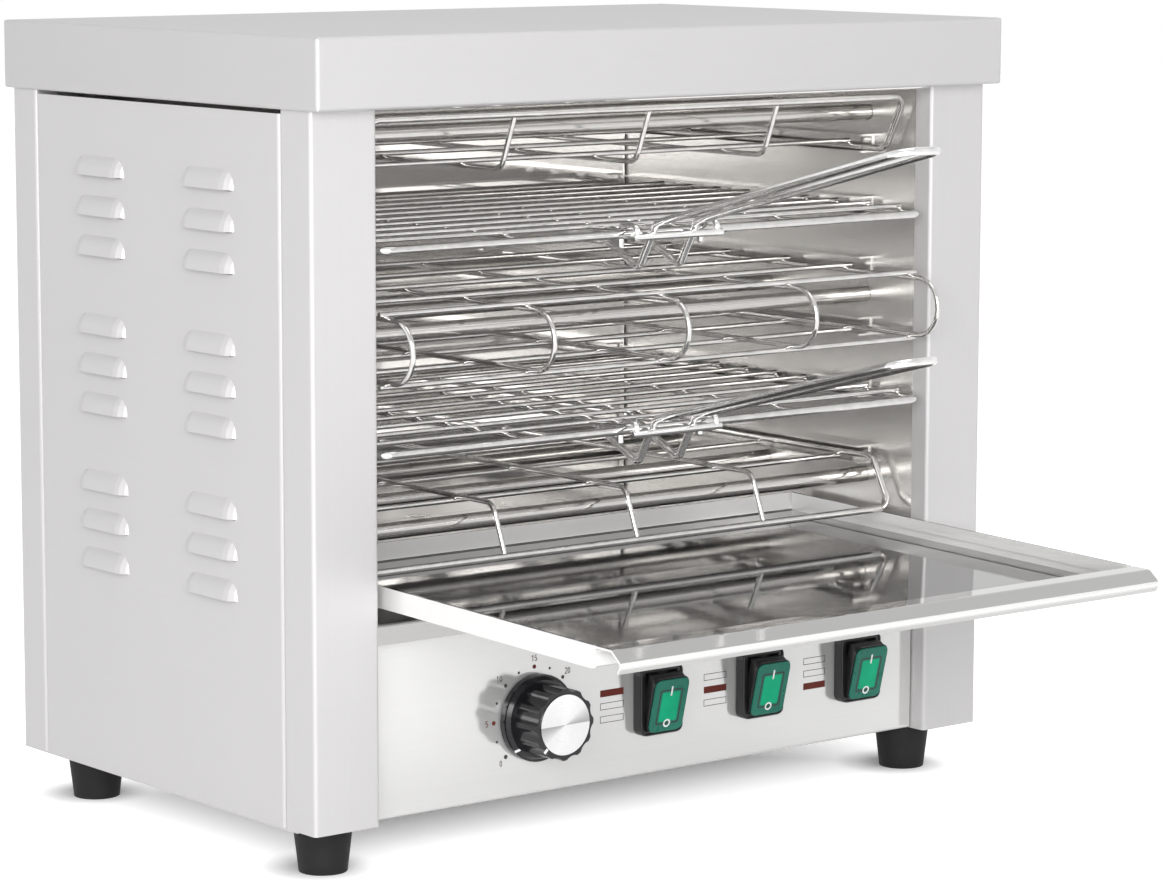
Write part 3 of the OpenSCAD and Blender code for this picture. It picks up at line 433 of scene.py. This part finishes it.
def piece(name, bm, mat, body):
    """A finished mesh piece that rides on a body."""
    bmesh.ops.recalc_face_normals(bm, faces=bm.faces[:])
    obj = mesh_object(name, bm, mat)
    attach(obj, body)


def prism(bm, outline, place, thick, hole=None):
    """A flat outline of (u, v) raised by thick; place puts (u, v, height) in the frame.

    A hole has as many points as the outline.
    """
    loops = (outline, hole) if hole else (outline,)
    levels = [[[bm.verts.new(place(u, v, h)) for u, v in loop] for loop in loops] for h in (0.0, thick)]
    count = len(outline)
    steps = [(i, (i + 1) % count) for i in range(count)]
    for rings in levels:
        if hole:
            outer, inner = rings
            for i, j in steps:
                bm.faces.new((outer[i], outer[j], inner[j], inner[i]))
        else:
            bm.faces.new(rings[0])
    for low, high in zip(*levels):
        for i, j in steps:
            bm.faces.new((low[i], low[j], high[j], high[i]))


def arc(u, v, radius, start, turn, count):
    """Points on an arc round (u, v), from start through turn in degrees."""
    angles = [math.radians(start + turn * i / count) for i in range(count + 1)]
    return [(u + radius * math.cos(a), v + radius * math.sin(a)) for a in angles]


def disc(radius, count, u, v):
    return arc(u, v, radius, 0, 360, count)[:-1]


def rect(u0, v0, u1, v1):
    return [(u0, v0), (u1, v0), (u1, v1), (u0, v1)]


def rounded(u0, v0, u1, v1, radius, count=5):
    """A rectangle with round corners."""
    left, right, low, high = u0 + radius, u1 - radius, v0 + radius, v1 - radius
    corners = ((right, high, 0), (left, high, 90), (left, low, 180), (right, low, 270))
    return [point for u, v, start in corners for point in arc(u, v, radius, start, 90, count)]


def inset(u0, v0, u1, v1, line):
    """The corners of a rectangle moved inwards."""
    return u0 + line, v0 + line, u1 - line, v1 - line


# Print on the control panel
INK = 0.06


def on_panel(u, v, h):
    """Front face of the control panel: u across, v up, h out of it."""
    return at(u, PANEL_Y - h, v)


# Printed bars beside the switches, measured from the middle of a switch
BAR_LEFT = -36.0
BAR_RIGHT = -20.5
BAR_TOPS = (8.1, 1.3, -5.6)
BAR_HEIGHT = 3.6
BAR_LINE = 0.3


def level_bars(number, x):
    """One bar for each level of tubes: the filled one tells which a switch lights."""
    filled, lines = bmesh.new(), bmesh.new()
    for level, rise in zip(SWITCHES, BAR_TOPS):
        top = CONTROL_Z + rise
        bar = (x + BAR_LEFT, top - BAR_HEIGHT, x + BAR_RIGHT, top)
        if level == number:
            prism(filled, rect(*bar), on_panel, INK)
        else:
            prism(lines, rect(*bar), on_panel, INK, rect(*inset(*bar, BAR_LINE)))
    piece(f"level_bar_{number}", filled, red_ink, "grill")
    piece(f"level_lines_{number}", lines, line_ink, "grill")


for i, x in zip(SWITCHES, SWITCH_XS):
    level_bars(i, x)

# Dial print: each digit is one line in a field of 0.6 by 1
DIGITS = {
    "0": ((0.1, 0.2), (0.1, 0.8), (0.3, 1), (0.5, 0.8), (0.5, 0.2), (0.3, 0), (0.1, 0.2)),
    "1": ((0.1, 0.8), (0.3, 1), (0.3, 0)),
    "2": ((0.08, 0.8), (0.22, 1), (0.42, 1), (0.52, 0.8), (0.48, 0.6), (0.08, 0), (0.54, 0)),
    "3": ((0.08, 1), (0.5, 1), (0.26, 0.6), (0.46, 0.52), (0.52, 0.3), (0.44, 0.08), (0.26, 0),
          (0.06, 0.12)),
    "5": ((0.48, 1), (0.12, 1), (0.1, 0.56), (0.34, 0.62), (0.5, 0.46), (0.5, 0.18), (0.32, 0),
          (0.08, 0.1)),
}
DIGIT_MIDDLE = (0.3, 0.5)
DIGIT_PITCH = 0.66
NUMBER_SIZE = 2.9
NUMBER_LINE = 0.36
NUMBER_RING = 30.4
NUMBER_ROOM = 1.2
DOT_RING = 26.0
DOT_SIDES = 20
SMALL_DOT, DOT, LARGE_DOT = 0.7, 1.0, 1.15
DIAL_FIRST = math.radians(225)
DIAL_TURN = math.radians(270)
DIAL_GAPS = 12
DIAL_MINUTES = 30
RED_MINUTES = (5, 15)
LARGE_MINUTES = (0, 5, 15)
ROOMY_MINUTES = (10, 25)


def stroke(bm, start, end, width):
    """A straight line on the panel with square ends."""
    along = (end - start).normalized() * width / 2
    across = Vector((-along.y, along.x))
    corners = (start - along + across, start - along - across, end + along - across, end + along + across)
    prism(bm, corners, on_panel, INK)


def dial_number(bm, text, u, v):
    """A number drawn as thin strokes, its middle at (u, v)."""
    for k, digit in enumerate(text):
        shift = (k - (len(text) - 1) / 2) * DIGIT_PITCH - DIGIT_MIDDLE[0]
        points = [
            Vector((u + (a + shift) * NUMBER_SIZE, v + (b - DIGIT_MIDDLE[1]) * NUMBER_SIZE))
            for a, b in DIGITS[digit]
        ]
        for start, end in zip(points, points[1:]):
            stroke(bm, start, end, NUMBER_LINE)


def round_knob(radius, angle):
    """Point on the panel at a distance from the knob's axis."""
    return TIMER_X + radius * math.cos(angle), CONTROL_Z + radius * math.sin(angle)


def dial_print():
    """Dots round the knob, every second one with its minutes."""
    dark, red = bmesh.new(), bmesh.new()
    for k in range(DIAL_GAPS + 1):
        angle = DIAL_FIRST - DIAL_TURN * k / DIAL_GAPS
        minutes = DIAL_MINUTES * k / DIAL_GAPS
        bm = red if minutes in RED_MINUTES else dark
        size = SMALL_DOT
        if k % 2 == 0:
            size = LARGE_DOT if minutes in LARGE_MINUTES else DOT
            ring = NUMBER_RING + (NUMBER_ROOM if minutes in ROOMY_MINUTES else 0.0)
            dial_number(bm, f"{minutes:.0f}", *round_knob(ring, angle))
        prism(bm, disc(size, DOT_SIDES, *round_knob(DOT_RING, angle)), on_panel, INK)
    piece("dial_print", dark, dark_ink, "grill")
    piece("dial_print_red", red, red_ink, "grill")


dial_print()

# Pointer line of the knob as (radius, out) on its sloping skirt and on the rim of its grip
SKIRT_LINE = ((22.2, 3.3), (21.7, 3.36), (20.0, 5.3))
GRIP_LINE = ((18.4, 24.0), (15.7, 24.05))
POINTER_HALF = 0.75
POINTER_LIFT = 0.12


def on_knob(radius, beside, out):
    """Point at a radius, beside the pointer's line, out in front of the knob's base."""
    c, s = math.cos(DIAL_FIRST), math.sin(DIAL_FIRST)
    return at(TIMER_X + radius * c - beside * s, KNOB_Y - out, CONTROL_Z + radius * s + beside * c)


def strip(bm, path):
    """A narrow raised band along a path of (radius, out)."""
    section = rect(-POINTER_HALF, 0, POINTER_HALF, POINTER_LIFT)
    rows = [[bm.verts.new(on_knob(radius, w, out + h)) for w, h in section] for radius, out in path]
    for a, b in zip(rows, rows[1:]):
        for k in range(4):
            bm.faces.new((a[k], a[(k + 1) % 4], b[(k + 1) % 4], b[k]))
    bm.faces.new(rows[0])
    bm.faces.new(rows[-1])


def knob_pointer():
    bm = bmesh.new()
    strip(bm, SKIRT_LINE)
    strip(bm, GRIP_LINE)
    piece("knob_pointer", bm, white_ink, "timer_dial")


knob_pointer()

# Marks and bright window of each lens, measured from the rocker's pivot
PIVOT_Y = 6.0
ROCKER_TILT = math.radians(14)
LENS_FRONT = 8.6
WINDOW = (-5.9, -8.8, 5.9, 7.6)
WINDOW_CORNER = 0.8
WINDOW_LIFT = 0.10
EDGE = (-7.6, -10.4, 7.6, 9.2)
EDGE_CORNER = 1.2
EDGE_HOLE_CORNER = 0.9
EDGE_LINE = 0.7
EDGE_LIFT = 0.06
ON_MARK = (-0.5, 5.6, 0.5, 10.8)
OFF_V = -10.0
OFF_OUTER, OFF_INNER = 2.3, 1.45
OFF_SIDES = 28
MARK_LIFT = 0.16


def lens_face(x):
    """Gives the function that places (u, v, height) on the tipped lens of the switch at x."""
    c, s = math.cos(ROCKER_TILT), math.sin(ROCKER_TILT)

    def on_lens(u, v, h):
        y = -LENS_FRONT - h
        return at(x + u, PIVOT_Y + y * c - v * s, CONTROL_Z + y * s + v * c)

    return on_lens


def lens_marks(number, x):
    on_lens = lens_face(x)
    window, edge, marks = bmesh.new(), bmesh.new(), bmesh.new()
    edge_hole = rounded(*inset(*EDGE, EDGE_LINE), EDGE_HOLE_CORNER)
    off_hole = disc(OFF_INNER, OFF_SIDES, 0, OFF_V)
    prism(window, rounded(*WINDOW, WINDOW_CORNER), on_lens, WINDOW_LIFT)
    prism(edge, rounded(*EDGE, EDGE_CORNER), on_lens, EDGE_LIFT, edge_hole)
    prism(marks, rect(*ON_MARK), on_lens, MARK_LIFT)
    prism(marks, disc(OFF_OUTER, OFF_SIDES, 0, OFF_V), on_lens, MARK_LIFT, off_hole)
    piece(f"switch_{number}_window", window, glow, f"rocker_{number}")
    piece(f"switch_{number}_edge", edge, switch_black, f"rocker_{number}")
    piece(f"switch_{number}_marks", marks, white_ink, f"rocker_{number}")


for i, x in zip(SWITCHES, SWITCH_XS):
    lens_marks(i, x)

# Weld beads where wires cross
BEAD_WIDE = 1.9
BEAD_HIGH = 1.0


def beads(name, body, spots):
    """Small flattened beads at (x, y, z)."""
    bm = bmesh.new()
    size = Matrix.Diagonal((BEAD_WIDE / MM, BEAD_WIDE / MM, BEAD_HIGH / MM, 1))
    for spot in spots:
        shape = Matrix.Translation(at(*spot)) @ size
        bmesh.ops.create_icosphere(bm, subdivisions=2, radius=1, matrix=shape)
    for face in bm.faces:
        face.smooth = True
    piece(name, bm, wire, body)


# Racks: the grid wires cross the side wires, two rods halfway and two near the middle
RACK_WIRE = 4.5
GRID_FIRST = 18.0
GRID_LAST = 28.0
GRID_GAPS = 8
NEAR_ROD = 17.5
HALF_ROD_SHIFT = 1.0
RACK_WELD_SINK = 0.2


def rack_welds(level):
    low, high = casing_box(f"{level}_rack")
    reach = high.x - RACK_WIRE / 2
    half = (reach + HALF_ROD_SHIFT) / 2
    first = low.y + RACK_WIRE / 2 + GRID_FIRST
    pitch = (high.y - RACK_WIRE / 2 - GRID_LAST - first) / GRID_GAPS
    z = low.z + RACK_WIRE - RACK_WELD_SINK
    rods = (-reach, -half, -NEAR_ROD, NEAR_ROD, half, reach)
    spots = [(x, first + i * pitch, z) for x in rods for i in range(GRID_GAPS + 1)]
    beads(f"{level}_rack_welds", f"{level}_rack_body", spots)


for level in ("upper", "lower"):
    rack_welds(level)

# Guards: cross wires on the frame's sides and on three bars, or on five hairpins
GUARD_SIDE = casing_box("middle_guard")[1].x
WIRE_PITCH = 87.0
GUARD_XS = (-GUARD_SIDE, -WIRE_PITCH, 0.0, WIRE_PITCH, GUARD_SIDE)
HAIRPIN_XS = [k * WIRE_PITCH for k in range(-2, 3)]
UPPER_YS = (60.0, 128.0, 196.0)
LOWER_YS = (66.0, 133.0, 200.0)
HAIRPIN_FIRST = 6.0
HAIRPIN_PITCH = 51.5
HAIRPIN_YS = [HAIRPIN_FIRST + k * HAIRPIN_PITCH for k in range(5)]
GUARD_WELD_IN = 3.82
HAIRPIN_WELD_IN = 2.6


def guard_welds():
    upper_z = casing_box("upper_guard")[0].z + GUARD_WELD_IN
    lower_z = casing_box("lower_guard")[1].z - GUARD_WELD_IN
    low, high = casing_box("middle_guard")
    hairpin_zs = (high.z - HAIRPIN_WELD_IN, low.z + HAIRPIN_WELD_IN)
    beads("upper_guard_welds", "grill", [(x, y, upper_z) for x in GUARD_XS for y in UPPER_YS])
    beads("lower_guard_welds", "grill", [(x, y, lower_z) for x in GUARD_XS for y in LOWER_YS])
    spots = [(x, y, z) for x in HAIRPIN_XS for y in HAIRPIN_YS for z in hairpin_zs]
    beads("middle_guard_welds", "grill", spots)


guard_welds()

# Joint lines in the rear corners of the cavity
SHEET = 1.0
SEAM = 0.4
SEAM_LOW_GAP = 0.2
SEAM_HIGH_GAP = 2.0


def cavity_seams():
    bm = bmesh.new()
    side = casing_box("right_liner")[1].x - SHEET
    back = casing_box("rear_liner")[0].y
    low = casing_box("cavity_floor")[1].z + SEAM_LOW_GAP
    high = casing_box("top_reflector")[0].z - SEAM_HIGH_GAP
    for left in (-side, side - SEAM):
        corner = rect(left, back - SEAM, left + SEAM, back)
        prism(bm, corner, lambda u, v, h: at(u, v, low + h), high - low)
    piece("cavity_seams", bm, dark_ink, "grill")


cavity_seams()

# Dark crosses on the rear screw heads: painted shade for their cross recesses
SCREW_RADIUS = 4.0
SCREW_PITCH = 105.0
SCREW_ROWS = 4
CROSS_LONG = 2.1
CROSS_SHORT = 0.45
CROSS_LIFT = 0.05


def painted_screw_recesses():
    bm = bmesh.new()
    high = casing_box("rear_panel_screws")[1]
    side = high.x - SCREW_RADIUS
    first = casing_middle("rear_panel_screws").z - (SCREW_ROWS - 1) / 2 * SCREW_PITCH
    for x in (-side, side):
        for z in [first + k * SCREW_PITCH for k in range(SCREW_ROWS)]:
            for a, b in ((CROSS_LONG, CROSS_SHORT), (CROSS_SHORT, CROSS_LONG)):
                bar = rect(x - a, z - b, x + a, z + b)
                prism(bm, bar, lambda u, v, h: at(u, high.y + h, v), CROSS_LIFT)
    piece("rear_screw_recess_shade", bm, dark_ink, "grill")


painted_screw_recesses()

# Floor, lengths in metres: bright to the camera, with a soft shadow under the casing and around the feet
WHITE = (1, 1, 1, 1)
FLOOR_RADIUS = 8
FLOOR_SIDES = 64
FLOOR_COLOUR = (0.9, 0.9, 0.9, 1)
FLOOR_LIFT = 0.66
FLOOR_NEAR = 0.05
FLOOR_GLOSS = 0.34
SHADOW_FROM, SHADOW_TO = -0.10, -0.01
BASE_LOW, BASE_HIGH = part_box("base_plate")
FEET_LOW, FEET_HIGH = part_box("feet")
FOOT_RADIUS = 0.015
FOOT_SHADOW = (0.8 * FOOT_RADIUS, 2.2 * FOOT_RADIUS)
FOOT_NEAR = 0.1


def floor_material():
    t = new_material("floor_pale")
    place = t.place()
    aside = []
    squares = []
    for k, axis in enumerate("XY"):
        middle = (BASE_LOW[k] + BASE_HIGH[k]) / 2
        off = t.calc("ABSOLUTE", t.calc("SUBTRACT", t.part(place, axis), middle))
        aside.append(t.calc("SUBTRACT", off, (BASE_HIGH[k] - BASE_LOW[k]) / 2))
        from_foot = t.calc("SUBTRACT", off, (FEET_HIGH[k] - FEET_LOW[k]) / 2 - FOOT_RADIUS)
        squares.append(t.calc("MULTIPLY", from_foot, from_foot))
    under = t.ramp(t.calc("MAXIMUM", *aside), SHADOW_FROM, SHADOW_TO, FLOOR_NEAR, FLOOR_LIFT)
    foot = t.ramp(t.calc("SQRT", t.calc("ADD", *squares)), *FOOT_SHADOW, FOOT_NEAR, 1.0)
    camera_ray = t.node("LightPath", output="Is Camera Ray")
    glossy_ray = t.node("LightPath", output="Is Glossy Ray")
    seen = t.calc("MULTIPLY", camera_ray, t.calc("MULTIPLY", under, foot))
    mirrored = t.calc("MULTIPLY", glossy_ray, FLOOR_GLOSS)
    lift = t.node("Emission", {"Color": WHITE, "Strength": t.calc("ADD", seen, mirrored)})
    diffuse = t.node("BsdfDiffuse", {"Color": FLOOR_COLOUR})
    return t.finish(t.node("AddShader", {0: diffuse, 1: lift}))


def add_floor():
    bm = bmesh.new()
    bmesh.ops.create_circle(bm, cap_ends=True, segments=FLOOR_SIDES, radius=FLOOR_RADIUS)
    floor = mesh_object("floor", bm, floor_material())


add_floor()

# Studio: white to the camera and in mirrors, less so overhead, and a weaker fill light
SKY_FILL = 0.50
SKY_DARK = 0.75
SKY_FROM, SKY_TO = 0.2, 0.8


def add_studio():
    scene.world = bpy.data.worlds.new("studio")
    t = Shading(scene.world, "OutputWorld")
    camera, glossy, clear = (
        t.node("LightPath", output=f"Is {kind} Ray") for kind in ("Camera", "Glossy", "Transmission")
    )
    seen = t.calc("MAXIMUM", t.calc("MAXIMUM", camera, glossy), clear)
    height = t.part(t.node("TexCoord", output="Generated"), "Z")
    fall = t.ramp(height, SKY_FROM, SKY_TO, 1.0, SKY_DARK)
    fill = t.node("Background", {"Color": WHITE, "Strength": SKY_FILL})
    backdrop = t.node("Background", {"Color": WHITE, "Strength": fall})
    t.finish(t.node("MixShader", {0: seen, 1: fill, 2: backdrop}))


add_studio()

# Lamps: place, target, width and height in metres, power in watts
KEY_PLACE, KEY_TARGET = (-1.55, -1.95, 0.85), (0, -0.05, 0.2)
KEY_SIZE = (2.3, 1.3)
KEY_POWER = 60.0
TOP_PLACE, TOP_TARGET = (0.2, -0.1, 2.2), (0, 0, 0)
TOP_SIZE = (1.8, 1.4)
TOP_POWER = 9.0


def softbox(name, place, target, size, power):
    data = bpy.data.lights.new(name, "AREA")
    data.shape = "RECTANGLE"
    data.size, data.size_y = size
    data.energy = power
    lamp = add_object(name, data)
    lamp.location = place
    lamp.rotation_euler = (Vector(target) - Vector(place)).to_track_quat("-Z", "Y").to_euler()


softbox("key", KEY_PLACE, KEY_TARGET, KEY_SIZE, KEY_POWER)
softbox("overhead", TOP_PLACE, TOP_TARGET, TOP_SIZE, TOP_POWER)
